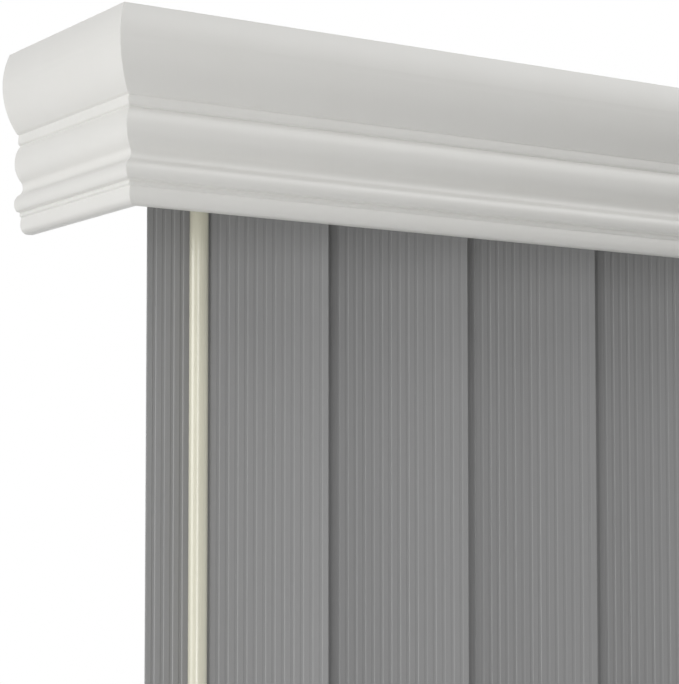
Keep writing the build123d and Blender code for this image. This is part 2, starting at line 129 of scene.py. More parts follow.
class VaneLook(bpy.types.PropertyGroup):
    """Bowed vanes, grooved on the room side."""

    width: FloatProperty(name="Width", description="Straight across the bow", unit="LENGTH", default=0.089)
    thickness: FloatProperty(name="Thickness", description="Of the strip", unit="LENGTH", default=0.0009)
    bow: FloatProperty(name="Bow", description="Rise of the bow", unit="LENGTH", default=0.0042)
    closed_angle: FloatProperty(name="Closed angle", description="Turn of a closed vane from the rail",
                                subtype="ANGLE", default=np.radians(16))
    grooves: IntProperty(name="Grooves", description="Grooves across a vane", default=19, min=1)
    groove_pitch: FloatProperty(name="Groove pitch", description="From groove to groove", unit="LENGTH",
                                default=0.00455)
    groove_width: FloatProperty(name="Groove width", description="At the surface", unit="LENGTH", default=0.0021)
    groove_wall: FloatProperty(name="Groove wall", description="Width of a sloping wall", unit="LENGTH",
                               default=0.00055)
    groove_depth: FloatProperty(name="Groove depth", description="Where deepest", unit="LENGTH", default=0.0003)
    groove_fade: FloatProperty(name="Groove fade", description="Share of the depth lost towards the right edge",
                               subtype="FACTOR", default=0.78)
    groove_left: FloatProperty(name="Groove at left", description="Share of the depth at the left edge",
                               subtype="FACTOR", default=0.5)
    groove_peak: FloatProperty(name="Groove peak", description="Share of the width up to which the depth grows",
                               subtype="FACTOR", default=0.2)
    slot_width: FloatProperty(name="Slot width", description="Of the hanging slot", unit="LENGTH", default=0.012)
    slot_height: FloatProperty(name="Slot height", description="Of the hanging slot", unit="LENGTH", default=0.0046)
    slot_drop: FloatProperty(name="Slot drop", description="From the vane's top", unit="LENGTH", default=0.0064)
    colour: FloatVectorProperty(name="Colour", description="Grey of the vanes",
                                default=(0.305, 0.305, 0.306), **COLOUR)
    roughness: FloatProperty(name="Roughness", description="Satin of the surface", subtype="FACTOR", default=0.36)


class WandLook(bpy.types.PropertyGroup):
    """Ivory wand that hangs from the leading carrier."""

    wall: FloatProperty(name="Wall", description="Of the tube", unit="LENGTH", default=0.0012)
    wire: FloatProperty(name="Hook wire", description="Diameter", unit="LENGTH", default=0.0024)
    eye_height: FloatProperty(name="Eye height", description="Of the bar through the stem's eye", unit="LENGTH",
                              default=-0.024)
    hook_span: FloatProperty(name="Hook span", description="From the eye's middle to the wire", unit="LENGTH",
                             default=0.0033)
    hook_foot: FloatProperty(name="Hook foot", description="Height of the wire's end in the cap", unit="LENGTH",
                             default=0.007)
    hole_floor: FloatProperty(name="Hole floor", description="Height of the hole's end in the cap", unit="LENGTH",
                              default=0.006)
    colour: FloatVectorProperty(name="Colour", description="Ivory of the wand", default=(0.71, 0.695, 0.57), **COLOUR)
    roughness: FloatProperty(name="Roughness", description="Gloss of the wand", subtype="FACTOR", default=0.27)


class FittingLook(bpy.types.PropertyGroup):
    """Headrail, worms, carriers, clips and brackets."""

    rail_wall: FloatProperty(name="Rail wall", description="Of the channel", unit="LENGTH", default=0.0015)
    rail_lip: FloatProperty(name="Rail lip", description="Beyond each side", unit="LENGTH", default=0.002)
    rail_slot: FloatProperty(name="Rail slot", description="Along the underside", unit="LENGTH", default=0.018)
    rail_edge: FloatProperty(name="Rail edge", description="Softness of the rail's edges", unit="LENGTH",
                             default=0.00022)
    worm_bore: FloatProperty(name="Worm bore", description="Across flats", unit="LENGTH", default=0.0063)
    thread_depth: FloatProperty(name="Thread depth", description="Of the worms", unit="LENGTH", default=0.0006)
    thread_lead: FloatProperty(name="Thread lead", description="Of the worms", unit="LENGTH", default=0.00408)
    rail_colour: FloatVectorProperty(name="Rail colour", description="Coating of the rail",
                                     default=(0.74, 0.74, 0.72), **COLOUR)
    moulded_colour: FloatVectorProperty(name="Moulded colour", description="Carriers, stems and caps",
                                        default=(0.76, 0.76, 0.73), **COLOUR)
    clip_colour: FloatVectorProperty(name="Clip colour", description="Valance clips",
                                     default=(0.80, 0.84, 0.85), **COLOUR)
    bracket_colour: FloatVectorProperty(name="Bracket colour", description="Coating of the brackets",
                                        default=(0.74, 0.74, 0.73), **COLOUR)
    steel_colour: FloatVectorProperty(name="Steel colour", description="Clips, links, rivets and hook",
                                      default=(0.56, 0.56, 0.58), **COLOUR)
    rod_colour: FloatVectorProperty(name="Rod colour", description="Drawn rod", default=(0.66, 0.66, 0.68), **COLOUR)


class StageLook(bpy.types.PropertyGroup):
    """Camera, lamps, floor and backdrop."""

    camera_place: FloatVectorProperty(name="Camera", description="Place of the camera", subtype="TRANSLATION",
                                      unit="LENGTH", default=(-0.7479, -0.9137, -0.2045))
    camera_yaw: FloatProperty(name="Yaw", description="Turn to the right of +Y", subtype="ANGLE",
                              default=np.radians(33.06))
    camera_pitch: FloatProperty(name="Pitch", description="Tilt upwards", subtype="ANGLE", default=np.radians(3.421))
    lens: FloatProperty(name="Lens", description="Focal length in millimetres", default=109.96)
    shift: FloatProperty(name="Shift", description="Upward shift of the lens", default=0.1)
    key_power: FloatProperty(name="Key", description="Lamps beside the camera, in watts", default=6.4)
    side_power: FloatProperty(name="Side", description="Lamps beyond the left end, in watts", default=40)
    top_power: FloatProperty(name="Top", description="Lamp above the blind, in watts", default=2.2)
    front_power: FloatProperty(name="Front", description="Lamp at the right ahead of the blind, in watts", default=6)
    back_power: FloatProperty(name="Back", description="Lamp behind the blind, in watts", default=25)
    ambient: FloatProperty(name="Ambient", description="Even light from all round", default=0.03)
    floor_height: FloatProperty(name="Floor", description="Height of the floor", unit="LENGTH", default=-0.93)
    floor_reach: FloatProperty(name="Floor reach", description="From its middle to a side", unit="LENGTH", default=3)


# Shader nodes


class Wire:
    """A shader socket on which arithmetic adds Math nodes."""

    def __init__(self, tree, socket):
        self.tree = tree
        self.socket = socket

    @classmethod
    def add(cls, tree, kind, settings, sockets, output=0):
        """One node of any kind: its settings first, then the values or links of its sockets."""
        node = tree.nodes.new(kind)
        for key, value in settings.items():
            setattr(node, key, value)
        for key, value in sockets.items():
            if isinstance(value, Wire):
                tree.links.new(value.socket, node.inputs[key])
            else:
                node.inputs[key].default_value = value
        return cls(tree, node.outputs[output] if node.outputs else None)

    def combined(self, operation, first, second):
        """One Math node on two values, of which either may be a number."""
        return Wire.add(self.tree, "ShaderNodeMath", {"operation": operation}, {0: first, 1: second})

    def __add__(self, other):
        return self.combined("ADD", self, other)

    def __radd__(self, other):
        return self.combined("ADD", other, self)

    def __sub__(self, other):
        return self.combined("SUBTRACT", self, other)

    def __rsub__(self, other):
        return self.combined("SUBTRACT", other, self)

    def __mul__(self, other):
        return self.combined("MULTIPLY", self, other)

    def __rmul__(self, other):
        return self.combined("MULTIPLY", other, self)


class Finish:
    """A material under construction, with the patterns that its surface is made of."""

    def __init__(self, name):
        self.material = bpy.data.materials.new(name)
        self.material.use_nodes = True
        self.tree = self.material.node_tree
        self.tree.nodes.clear()

    def add(self, kind, settings, sockets, output=0):
        return Wire.add(self.tree, kind, settings, sockets, output)

    def surface_map(self):
        """Distance along a piece and across it, in metres."""
        return self.add("ShaderNodeUVMap", {"uv_map": "surface"}, {})

    def place(self):
        """Place on the piece, in metres."""
        return self.add("ShaderNodeTexCoord", {}, {}, 3)

    def cloud(self, where, scale, detail=2.0, rough=0.5):
        """Noise with a number of waves per metre along each axis."""
        mapped = self.add("ShaderNodeMapping", {}, {"Vector": where, "Scale": scale})
        return self.add("ShaderNodeTexNoise", {}, {"Vector": mapped, "Scale": 1.0, "Detail": detail,
                                                   "Roughness": rough})

    def tint(self, amount, first, second):
        """Colour between two, by an amount from 0 to 1."""
        return self.add("ShaderNodeMix", {"data_type": "RGBA"}, {0: amount, 6: first, 7: second}, 2)

    def toned(self, amount, colour, first, second, warm=0.0):
        """Colour between two shares of one, of which the second may be warmer."""
        return self.tint(amount, shade(colour, first), shade(colour, second, warm))

    def rounded(self, radius):
        """Normal with edges rounded to a radius in metres."""
        return self.add("ShaderNodeBevel", {"samples": 4}, {"Radius": radius})

    def bump(self, height, distance, strength, normal=None):
        """Normal tilted by the slope of a height, on top of another normal where one is given."""
        sockets = {"Height": height, "Distance": distance, "Strength": strength}
        if normal is not None:
            sockets["Normal"] = normal
        return self.add("ShaderNodeBump", {}, sockets)

    def done(self, **sockets):
        """The material, its shader's sockets named with underscores for spaces."""
        named = {key.replace("_", " "): value for key, value in sockets.items()}
        shader = self.add("ShaderNodeBsdfPrincipled", {}, named)
        self.add("ShaderNodeOutputMaterial", {}, {"Surface": shader})
        return self.material


def shade(colour, share, warm=0.0):
    """A colour times a share, its blue held back by warm, with an alpha of 1."""
    red, green, blue = colour
    return (red * share, green * share * (1 - warm / 3), blue * share * (1 - warm), 1.0)


def valance_finish(look):
    """Satin moulding: faint drawing lines along its length, a slow change of tone and a fine grain."""
    finish = Finish("valance_satin")
    where = finish.surface_map()
    lines = finish.cloud(where, (4, 900, 1), 3)
    slow = finish.cloud(where, (9, 26, 1), 2)
    grain = finish.cloud(where, (2600, 2600, 1), 2)
    tone = slow * 0.7 + lines * 0.3
    colour = finish.toned(tone, look.colour, 1.02, 0.975, 0.02)
    relief = lines * 0.6 + grain * 0.4
    return finish.done(Base_Color=colour, Roughness=look.roughness - 0.06 + lines * 0.08 + grain * 0.04,
                       Normal=finish.bump(relief, 0.00012, 0.12), Specular_IOR_Level=0.45)


def vane_finish(look):
    """Satin vane: streaks down its height, painted shade in the groove floors, a painted highlight on their right-hand
    rims, and a fine matt grain.
    """
    finish = Finish("vane_satin")
    where = finish.surface_map()
    groove, rim = (finish.add("ShaderNodeAttribute", {"attribute_name": name}, {}, 2) for name in ("groove", "rim"))
    streak = finish.cloud(where, (1500, 5, 1), 3)
    slow = finish.cloud(where, (40, 4, 1), 2)
    grain = finish.cloud(where, (3200, 2400, 1), 2)
    tone = streak * 0.55 + slow * 0.45
    plain = finish.toned(tone, look.colour, 1.05, 0.95)
    # Painted shade: the groove floors are darkened by the groove mark.
    colour = finish.tint(groove * 0.35, plain, shade(look.colour, 0.8))
    # Painted highlight: the right-hand rims of the grooves are lightened by the rim mark.
    colour = finish.tint(rim * 0.55, colour, shade(look.colour, 1.3))
    relief = grain * 0.5 + streak * 0.5
    return finish.done(Base_Color=colour, Roughness=look.roughness - 0.05 + streak * 0.06 + grain * 0.05,
                       Normal=finish.bump(relief, 0.00008, 0.18), Specular_IOR_Level=0.4)


def wand_finish(look):
    """Gloss ivory: faint flow lines down its length and a slight change of tone under a clear coat."""
    finish = Finish("wand_gloss")
    where = finish.surface_map()
    flow = finish.cloud(where, (420, 7, 1), 3)
    slow = finish.cloud(where, (30, 12, 1), 2)
    colour = finish.toned(flow * 0.4 + slow * 0.6, look.colour, 1.04, 0.96, 0.05)
    return finish.done(Base_Color=colour, Roughness=look.roughness - 0.04 + flow * 0.08,
                       Normal=finish.bump(flow, 0.0001, 0.025), Coat_Weight=0.6, Coat_Roughness=0.24)


def rail_finish(look):
    """Coated channel: drawing lines under a smooth white coat."""
    finish = Finish("rail_coat")
    where = finish.surface_map()
    lines = finish.cloud(where, (3, 1400, 1), 3)
    peel = finish.cloud(where, (420, 420, 1), 2)
    colour = finish.toned(lines, look.rail_colour, 1.03, 0.96, 0.02)
    return finish.done(Base_Color=colour, Roughness=0.3 + peel * 0.1,
                       Normal=finish.bump(lines * 0.4 + peel * 0.6, 0.0001, 0.15), Specular_IOR_Level=0.5)


def moulded_finish(look):
    """Moulded white plastic: a faint spark-eroded grain, flow marks and rounded edges."""
    finish = Finish("moulded_white")
    where = finish.place()
    grain = finish.cloud(where, (1900, 1900, 1900), 3)
    flow = finish.cloud(where, (90, 60, 130), 3)
    colour = finish.toned(flow, look.moulded_colour, 1.03, 0.95, 0.04)
    return finish.done(Base_Color=colour, Roughness=0.36 + grain * 0.14,
                       Normal=finish.bump(grain, 0.0001, 0.2, finish.rounded(0.0003)))


def clip_finish(look):
    """Pale clear plastic: slightly clouded, with rounded edges."""
    finish = Finish("clip_clear")
    where = finish.place()
    cloud = finish.cloud(where, (160, 160, 220), 3)
    colour = finish.toned(cloud, look.clip_colour, 1.04, 0.93)
    return finish.done(Base_Color=colour, Roughness=0.12 + cloud * 0.16, Transmission_Weight=0.45, IOR=1.49,
                       Normal=finish.bump(cloud, 0.0001, 0.1, finish.rounded(0.0002)))


def bracket_finish(look):
    """Powder-coated steel: orange-peel relief, a slight change of tone and rounded edges."""
    finish = Finish("bracket_coat")
    where = finish.place()
    peel = finish.cloud(where, (950, 950, 950), 2)
    slow = finish.cloud(where, (60, 60, 60), 2)
    colour = finish.toned(slow, look.bracket_colour, 1.03, 0.95, 0.02)
    return finish.done(Base_Color=colour, Roughness=0.28 + peel * 0.18,
                       Normal=finish.bump(peel, 0.00015, 0.3, finish.rounded(0.0003)))


def steel_finish(look):
    """Bright spring steel: rolling lines along the rail, faint smears and rounded edges."""
    finish = Finish("spring_steel")
    where = finish.place()
    rolled = finish.cloud(where, (30, 2600, 2600), 3)
    smear = finish.cloud(where, (120, 120, 120), 3)
    colour = finish.toned(rolled, look.steel_colour, 1.1, 0.88)
    return finish.done(Base_Color=colour, Metallic=1.0, Roughness=0.24 + rolled * 0.16 + smear * 0.08,
                       Normal=finish.bump(rolled, 0.00005, 0.15, finish.rounded(0.00012)))


def rod_finish(look):
    """Drawn bar: long scratches along its length."""
    finish = Finish("rod_drawn")
    where = finish.place()
    drawn = finish.cloud(where, (8, 3000, 3000), 3)
    dull = finish.cloud(where, (25, 90, 90), 2)
    colour = finish.toned(drawn, look.rod_colour, 1.08, 0.9)
    return finish.done(Base_Color=colour, Metallic=1.0, Roughness=0.22 + drawn * 0.14 + dull * 0.12,
                       Normal=finish.bump(drawn, 0.00005, 0.12, finish.rounded(0.0002)))


def floor_finish():
    """Pale seamless floor with a very faint mottle."""
    finish = Finish("studio_floor")
    where = finish.place()
    mottle = finish.cloud(where, (3, 3, 3), 3)
    colour = finish.tint(mottle, (0.90, 0.90, 0.90, 1), (0.87, 0.87, 0.87, 1))
    return finish.done(Base_Color=colour, Roughness=0.7 + mottle * 0.1)


# Surfaces as whole arrays


class Shell:
    """Patches of one closed surface: points, faces, and the place of each face corner on the surface map."""

    def __init__(self):
        self.points = np.zeros((0, 3))
        self.faces = []
        self.maps = []

    def rings(self, rings, across, along, keep=None, closed=False):
        """Quads between rings of points, each ring closed on itself.

        rings has the shape (ring, column, 3). across gives the map's first value at each column and at the
        closing one, along the second at each ring and, where the last ring meets the first, at the closing one.
        """
        count, columns = rings.shape[:2]
        start = len(self.points)
        self.points = np.concatenate([self.points, rings.reshape(-1, 3)])
        ring, column = np.meshgrid(np.arange(count if closed else count - 1), np.arange(columns), indexing="ij")
        over, turn = (ring + 1) % count, (column + 1) % columns
        quads = np.stack([ring * columns + column, ring * columns + turn, over * columns + turn,
                          over * columns + column], -1) + start
        first = np.stack([across[column], across[column + 1], across[column + 1], across[column]], -1)
        second = np.stack([along[ring], along[ring], along[ring + 1], along[ring + 1]], -1)
        chosen = np.ones(ring.shape, bool) if keep is None else keep
        self.faces.append(quads[chosen])
        self.maps.append(np.stack([first, second], -1)[chosen])
        return start + np.arange(count * columns).reshape(count, columns)

    def quads(self, corners, maps):
        """Faces of equal size on point numbers, with the map's two values at each corner."""
        self.faces.append(np.asarray(corners))
        self.maps.append(np.asarray(maps, float))

    def cap(self, ring, maps):
        """One flat face on a ring of point numbers."""
        self.quads(np.asarray(ring)[None], np.asarray(maps, float)[None])

    def piece(self, name, material, body, slot, replaced, sharp=40, marks=None):
        """Mesh object of the patches, faces outwards, riding on a body in place of CAD nodes.

        Edges that turn by more than sharp degrees stay sharp. marks has values of the points by attribute name.
        """
        mesh = bpy.data.meshes.new(name)
        sizes = np.concatenate([np.full(len(face), face.shape[1]) for face in self.faces])
        corners = np.concatenate([face.ravel() for face in self.faces])
        maps = np.concatenate([place.reshape(-1, 2) for place in self.maps])
        mesh.vertices.add(len(self.points))
        mesh.vertices.foreach_set("co", self.points.astype(np.float32).ravel())
        mesh.loops.add(len(corners))
        mesh.loops.foreach_set("vertex_index", corners.astype(np.int32))
        mesh.polygons.add(len(sizes))
        mesh.polygons.foreach_set("loop_start", (np.cumsum(sizes) - sizes).astype(np.int32))
        mesh.update(calc_edges=True)
        layer = mesh.uv_layers.new(name="surface")
        layer.uv.foreach_set("vector", maps.astype(np.float32).ravel())
        for mark, values in (marks or {}).items():
            layer = mesh.attributes.new(mark, "FLOAT", "POINT")
            layer.data.foreach_set("value", values.astype(np.float32))
        shaped = bmesh.new()
        shaped.from_mesh(mesh)
        bmesh.ops.recalc_face_normals(shaped, faces=shaped.faces)
        shaped.to_mesh(mesh)
        shaped.free()
        mesh.polygons.foreach_set("use_smooth", np.ones(len(mesh.polygons), bool))
        mesh.set_sharp_from_angle(angle=np.radians(sharp))
        mesh.materials.append(material)
        piece = bpy.data.objects.new(name, mesh)
        bpy.context.scene.collection.objects.link(piece)
        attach(piece, body)
        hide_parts(*replaced)
        return piece


def arc(start, middle, end, count):
    """Points on the circle through three points, from the first to the last, in equal turns."""
    ax, ay = start
    bx, by = middle
    cx, cy = end
    twice = 2 * (ax * (by - cy) + bx * (cy - ay) + cx * (ay - by))
    squares = np.array([ax * ax + ay * ay, bx * bx + by * by, cx * cx + cy * cy])
    centre = np.array([squares @ [by - cy, cy - ay, ay - by], squares @ [cx - bx, ax - cx, bx - ax]]) / twice
    turns = [np.arctan2(p[1] - centre[1], p[0] - centre[0]) for p in (start, middle, end)]
    first = (turns[1] - turns[0] + np.pi) % (2 * np.pi) - np.pi
    second = (turns[2] - turns[1] + np.pi) % (2 * np.pi) - np.pi
    angles = turns[0] + np.linspace(0, first + second, count)
    radius = np.hypot(ax - centre[0], ay - centre[1])
    return centre + radius * np.stack([np.cos(angles), np.sin(angles)], -1)


def smooth(ramp):
    """Rise from 0 to 1 that is level at both ends: 3 r^2 - 2 r^3."""
    return ramp * ramp * (3 - 2 * ramp)


def distance_along(line):
    """Distance along a line of points, from 0 at the first."""
    return np.concatenate([[0], np.cumsum(np.linalg.norm(np.diff(line, axis=0), axis=1))])


def distance_round(outline):
    """Distance along a closed outline at each point and at the closing one."""
    return distance_along(np.concatenate([outline, outline[:1]]))


def points_at(line, run, at):
    """Points of a flat line at distances along it, run being the distance of each of its own points."""
    return np.stack([np.interp(at, run, line[:, axis]) for axis in range(2)], -1)


def softened(outline, radius):
    """Closed outline at even steps, averaged over a bell curve of that radius so that its corners are rounded.

    Each coordinate is a periodic function of the distance along the outline, and its waves of number k shrink
    by exp(-(2 pi k radius / length)^2 / 2).
    """
    looped = np.concatenate([outline, outline[:1]])
    run = distance_along(looped)
    length = run[-1]
    count = int(round(length / OUTLINE_STEP))
    waves = np.fft.rfft(points_at(looped, run, np.arange(count) * length / count), axis=0)
    number = np.arange(len(waves))[:, None]
    return np.fft.irfft(waves * np.exp(-((2 * np.pi * number * radius / length) ** 2) / 2), count, axis=0)


def inset(outline, amount):
    """Closed outline moved inwards along its normals by an amount."""
    slope = np.roll(outline, -1, 0) - np.roll(outline, 1, 0)
    slope /= np.linalg.norm(slope, axis=1, keepdims=True)
    x, y = outline.T
    turn = np.sign(np.sum(x * np.roll(y, -1) - np.roll(x, -1) * y))
    return outline + amount * turn * np.stack([-slope[:, 1], slope[:, 0]], -1)


def carried(sections, places):
    """Shell of sections carried along a path, with a flat face on each end.

    sections has the shape (section, point, 3) and places the distance of each section along the path. Across
    the map goes the distance round the middle section.
    """
    shell = Shell()
    around = distance_round(sections[len(sections) // 2])
    numbers = shell.rings(sections, around, np.asarray(places, float))
    for end in (0, -1):
        shell.cap(numbers[end], np.stack([around[:-1], np.full(len(around) - 1, places[end])], -1))
    return shell


def turned_rings(profile, centre, columns, sides=0, corner=1.0):
    """Rings about an upright axis at each row of a profile: a radius, a height and the share of a polygon's shape.

    The polygon has the radius to its flats, and its corners are cut at corner times that.
    """
    angles = np.arange(columns) * 2 * np.pi / columns
    flat = np.ones(columns)
    if sides:
        part = 2 * np.pi / sides
        flat = np.minimum(1 / np.cos((angles + part / 2) % part - part / 2), corner)
    radius, height, shaped = np.asarray(profile, float).T
    reach = radius[:, None] * (1 + shaped[:, None] * (flat - 1))
    return np.stack([centre[0] + reach * np.cos(angles), centre[1] + reach * np.sin(angles),
                     np.broadcast_to(height[:, None], reach.shape)], -1)


def turned(profile, *shape):
    """Shell of a turned profile's rings, with a flat face on each end."""
    return carried(turned_rings(profile, *shape), distance_along(np.asarray(profile, float)[:, :2]))


# Pieces


def moulding_outline(look):
    """Section of the valance as inset from its face and height.

    Each member is an arc through three points, in shares of the relief and of the height; the back has keyways.
    """
    members = {
        "crown": [(0.327, 0.0), (0.0, 0.2035), (0.691, 0.442)],
        "fillet": [(0.80, 0.4485), (0.755, 0.474), (0.775, 0.5025)],
        "belly": [(0.868, 0.5085), (0.595, 0.599), (0.9, 0.709)],
        "cove": [(0.9, 0.709), (0.995, 0.744), (0.8164, 0.7826)],
        "torus": [(0.8164, 0.7826), (0.586, 0.8358), (0.70, 0.876)],
        "quirk": [(0.885, 0.881), (0.852, 0.891), (0.865, 0.903)],
        "band": [(0.945, 0.908), (0.888, 0.937), (0.925, 0.972)],
        "foot": [(0.925, 0.972), (1.03, 0.991), (1.236, 1.0)],
    }
    keyways = ((0.0545, 0.0515), (0.0095, 0.0065))
    keyway_depth = 0.0025
    size = np.array([look.relief, -look.height])
    curves = [arc(*(np.array(share) * size for share in shares), ARC_POINTS) for shares in members.values()]
    back, sunk = look.back, look.back - keyway_depth
    rear = [(back, -look.height)]
    for low, high in keyways:
        rear += [(back, -low), (sunk, -low), (sunk, -high), (back, -high)]
    outline = np.concatenate([*curves, rear, [(back, 0.0)]])
    return np.maximum(softened(outline, look.edge), [0.0, -look.height])


class BLIND_OT_valance(bpy.types.Operator):
    """Front moulding and both returns, mitred together"""

    bl_idname = "blind.valance"
    bl_label = "Valance"

    def execute(self, context):
        look = context.scene.blind_valance
        finish = valance_finish(look)
        outline = moulding_outline(look)
        edge = look.mitre_edge
        eased = inset(outline, edge)
        top, half, face = VALANCE_HIGH.z, VALANCE_HIGH.x, VALANCE_LOW.y

        def front(section, side, short):
            depth, drop = section.T
            return np.stack([side * (half - depth - short), face + depth, top + drop], -1)

        def end(section, side, away):
            depth, drop = section.T
            return np.stack([side * (half - depth), np.broadcast_to(away, depth.shape), top + drop], -1)

        sections = [front(eased, -1, 0), front(outline, -1, edge), front(outline, 1, edge), front(eased, 1, 0)]
        shell = carried(np.stack(sections), [0, edge, 2 * half - edge, 2 * half])
        shell.piece("valance_front_moulding", finish, "frame", "valance", ["valance_front"])
        for name, side in (("left", -1), ("right", 1)):
            sections = [end(eased, side, face + eased[:, 0]), end(outline, side, face + outline[:, 0] + edge),
                        end(outline, side, -edge), end(eased, side, 0.0)]
            shell = carried(np.stack(sections), [0, edge, look.depth - edge, look.depth])
            shell.piece("valance_return_" + name + "_moulding", finish, "frame", "valance", ["valance_return_" + name])
        return {"FINISHED"}


def groove_relief(look, number, stations, reach):
    """Depth of the grooves at stations along the arc, with the marks of their floors, for painted shade, and of their
    right-hand rims, for a painted highlight.

    A groove is sunk where a station is near a multiple of the pitch. Its depth differs a little from groove to
    groove, grows up to a share of the width and then fades to the right.
    """
    last = look.grooves - 1
    nearest = np.clip(np.round(stations / look.groove_pitch + last / 2), 0, last)
    off = stations - (nearest - last / 2) * look.groove_pitch
    side = look.groove_width / 2
    floor = smooth(np.clip((side - np.abs(off)) / look.groove_wall, 0, 1))
    share = (stations + reach) / (2 * reach)
    deep = 1 + sum(amount * np.sin(nearest * turn + number * shift) for amount, turn, shift in UNEVENNESS)
    deep *= 1 - look.groove_fade * share
    deep *= np.minimum(1, look.groove_left + (1 - look.groove_left) * share / look.groove_peak)
    # Painted highlight: a lighter band on each groove's right-hand wall, as strong as the groove is deep.
    rim = np.clip(1 - np.abs(off - side + look.groove_wall / 3) / look.groove_wall, 0, 1) * deep
    return look.groove_depth * deep * floor, floor, rim


def vane_shell(look, number, low, high):
    """Bowed strip: arc length a and height z on a circle of radius R about an upright axis on the room side.

    The front lies at R minus half the thickness, sunk by the grooves; the back lies at R plus half the thickness;
    both long edges are half circles, and a slot near the top goes through it. With it come its points' marks.
    """
    radius = (look.width ** 2 / 4 + look.bow ** 2) / (2 * look.bow)
    half = look.thickness / 2
    reach = radius * np.arcsin(look.width / 2 / radius) - half
    slot = look.slot_width / 2
    stations = np.linspace(-reach, reach, look.grooves * GROOVE_STATIONS + 1)
    stations = np.unique(np.concatenate([stations, [-slot, slot]]))
    sunk, floor, rim = groove_relief(look, number, stations, reach)
    edge = np.linspace(0, np.pi, EDGE_POINTS + 2)[1:-1]
    places = np.concatenate([stations, reach + half * np.sin(edge), stations[::-1], -reach - half * np.sin(edge)])
    radii = np.concatenate([radius - half + sunk, radius - half * np.cos(edge),
                            np.full(len(stations), radius + half), radius + half * np.cos(edge)])
    x, y = radii * np.sin(places / radius), radii * np.cos(places / radius) - radius
    cosine, sine = np.cos(look.closed_angle), np.sin(look.closed_angle)
    plan = np.stack([x * cosine + y * sine, y * cosine - x * sine], -1)
    slot_top = high - look.slot_drop
    heights = np.array([low, slot_top - look.slot_height, slot_top, high])
    rows, columns, count = len(heights), len(plan), len(stations)
    rings = np.concatenate([np.broadcast_to(plan, (rows, columns, 2)),
                            np.broadcast_to(heights[:, None, None], (rows, columns, 1))], -1)
    across = distance_round(plan) + number
    front = np.arange(count)
    back = count + EDGE_POINTS + front[::-1]
    within = np.flatnonzero(np.abs(stations[1:] + stations[:-1]) / 2 < slot)
    keep = np.ones((rows - 1, columns), bool)
    keep[1, within] = keep[1, back[within] - 1] = False
    shell = Shell()
    numbers = shell.rings(rings, across, heights, keep)

    def bridge(row, first):
        """Quads from the front to the back at one height."""
        ring = numbers[row]
        maps = np.stack([across[first], across[first + 1], across[first + 1], across[first]], -1)
        shell.quads(np.stack([ring[first], ring[first + 1], ring[back[first] - 1], ring[back[first]]], -1),
                    np.stack([maps, np.full(maps.shape, heights[row])], -1))

    for row in (0, rows - 1):
        bridge(row, front[:-1])
        for ends in (np.arange(front[-1], back[-1] + 1), np.append(np.arange(back[0], columns), 0)):
            shell.cap(numbers[row][ends], np.stack([across[ends], np.full(len(ends), heights[row])], -1))
    for row in (1, 2):
        bridge(row, within)
    for column in (within[0], within[-1] + 1):
        loop = [1, 2, 2, 1]
        shell.cap(numbers[loop, [column, column, back[column], back[column]]],
                  np.stack([np.full(len(loop), across[column]), heights[loop]], -1))
    plain = np.zeros(columns - count)
    # Marks on the front's stations for the painted shade in the groove floors and the painted highlight on their
    # right-hand rims; the rest of each ring has none.
    marks = {name: np.tile(np.append(values, plain), rows) for name, values in (("groove", floor), ("rim", rim))}
    return shell, marks


class BLIND_OT_vanes(bpy.types.Operator):
    """Grooved vanes, each on its own stem"""

    bl_idname = "blind.vanes"
    bl_label = "Vanes"

    def execute(self, context):
        look = context.scene.blind_vane
        finish = vane_finish(look)
        joints = {joint["child"]: joint for joint in frame["joints"]}
        for number, node in enumerate(VANE_NODES, 1):
            body = "vane_unit_" + node.split("_")[1]
            shell, marks = vane_shell(look, number, VANE_LOW.z, VANE_HIGH.z)
            axis = joints[body]["pos_m"]
            shell.points = shell.points + np.array([axis[0], axis[1], 0.0])
            shell.piece(node + "_strip", finish, body, "vane", [node], 60, marks)
        return {"FINISHED"}


def hook_path(look, centre, foot):
    """Line of the bent wire: a tip, the bar through the eye, and a shank drawn back to the wand's axis.

    Straight runs at even steps, averaged over a bell curve so that the bends are round; the ends are carried on
    in line before that, so that they stay where they are.
    """
    span, eye = look.hook_span, look.eye_height
    tip, shoulder, neck = eye - 0.003, eye - 0.007, eye - 0.0095
    route = np.array([(-span, tip), (-span, eye), (span, eye), (span, shoulder), (0.0, neck), (0.0, foot)])
    run = distance_along(route)
    even = points_at(route, run, np.arange(0, run[-1], HOOK_STEP))
    reach, spread = 20, 3.6
    window = np.exp(-(np.arange(-reach, reach + 1) / spread) ** 2 / 2)
    window /= window.sum()
    before = 2 * even[0] - even[reach:0:-1]
    after = 2 * even[-1] - even[-2:-reach - 2:-1]
    padded = np.concatenate([before, even, after])
    line = np.stack([np.convolve(padded[:, axis], window, "valid") for axis in range(2)], -1)
    return np.concatenate([np.full((len(line), 1), centre[0]), line + [centre[1], 0]], -1)


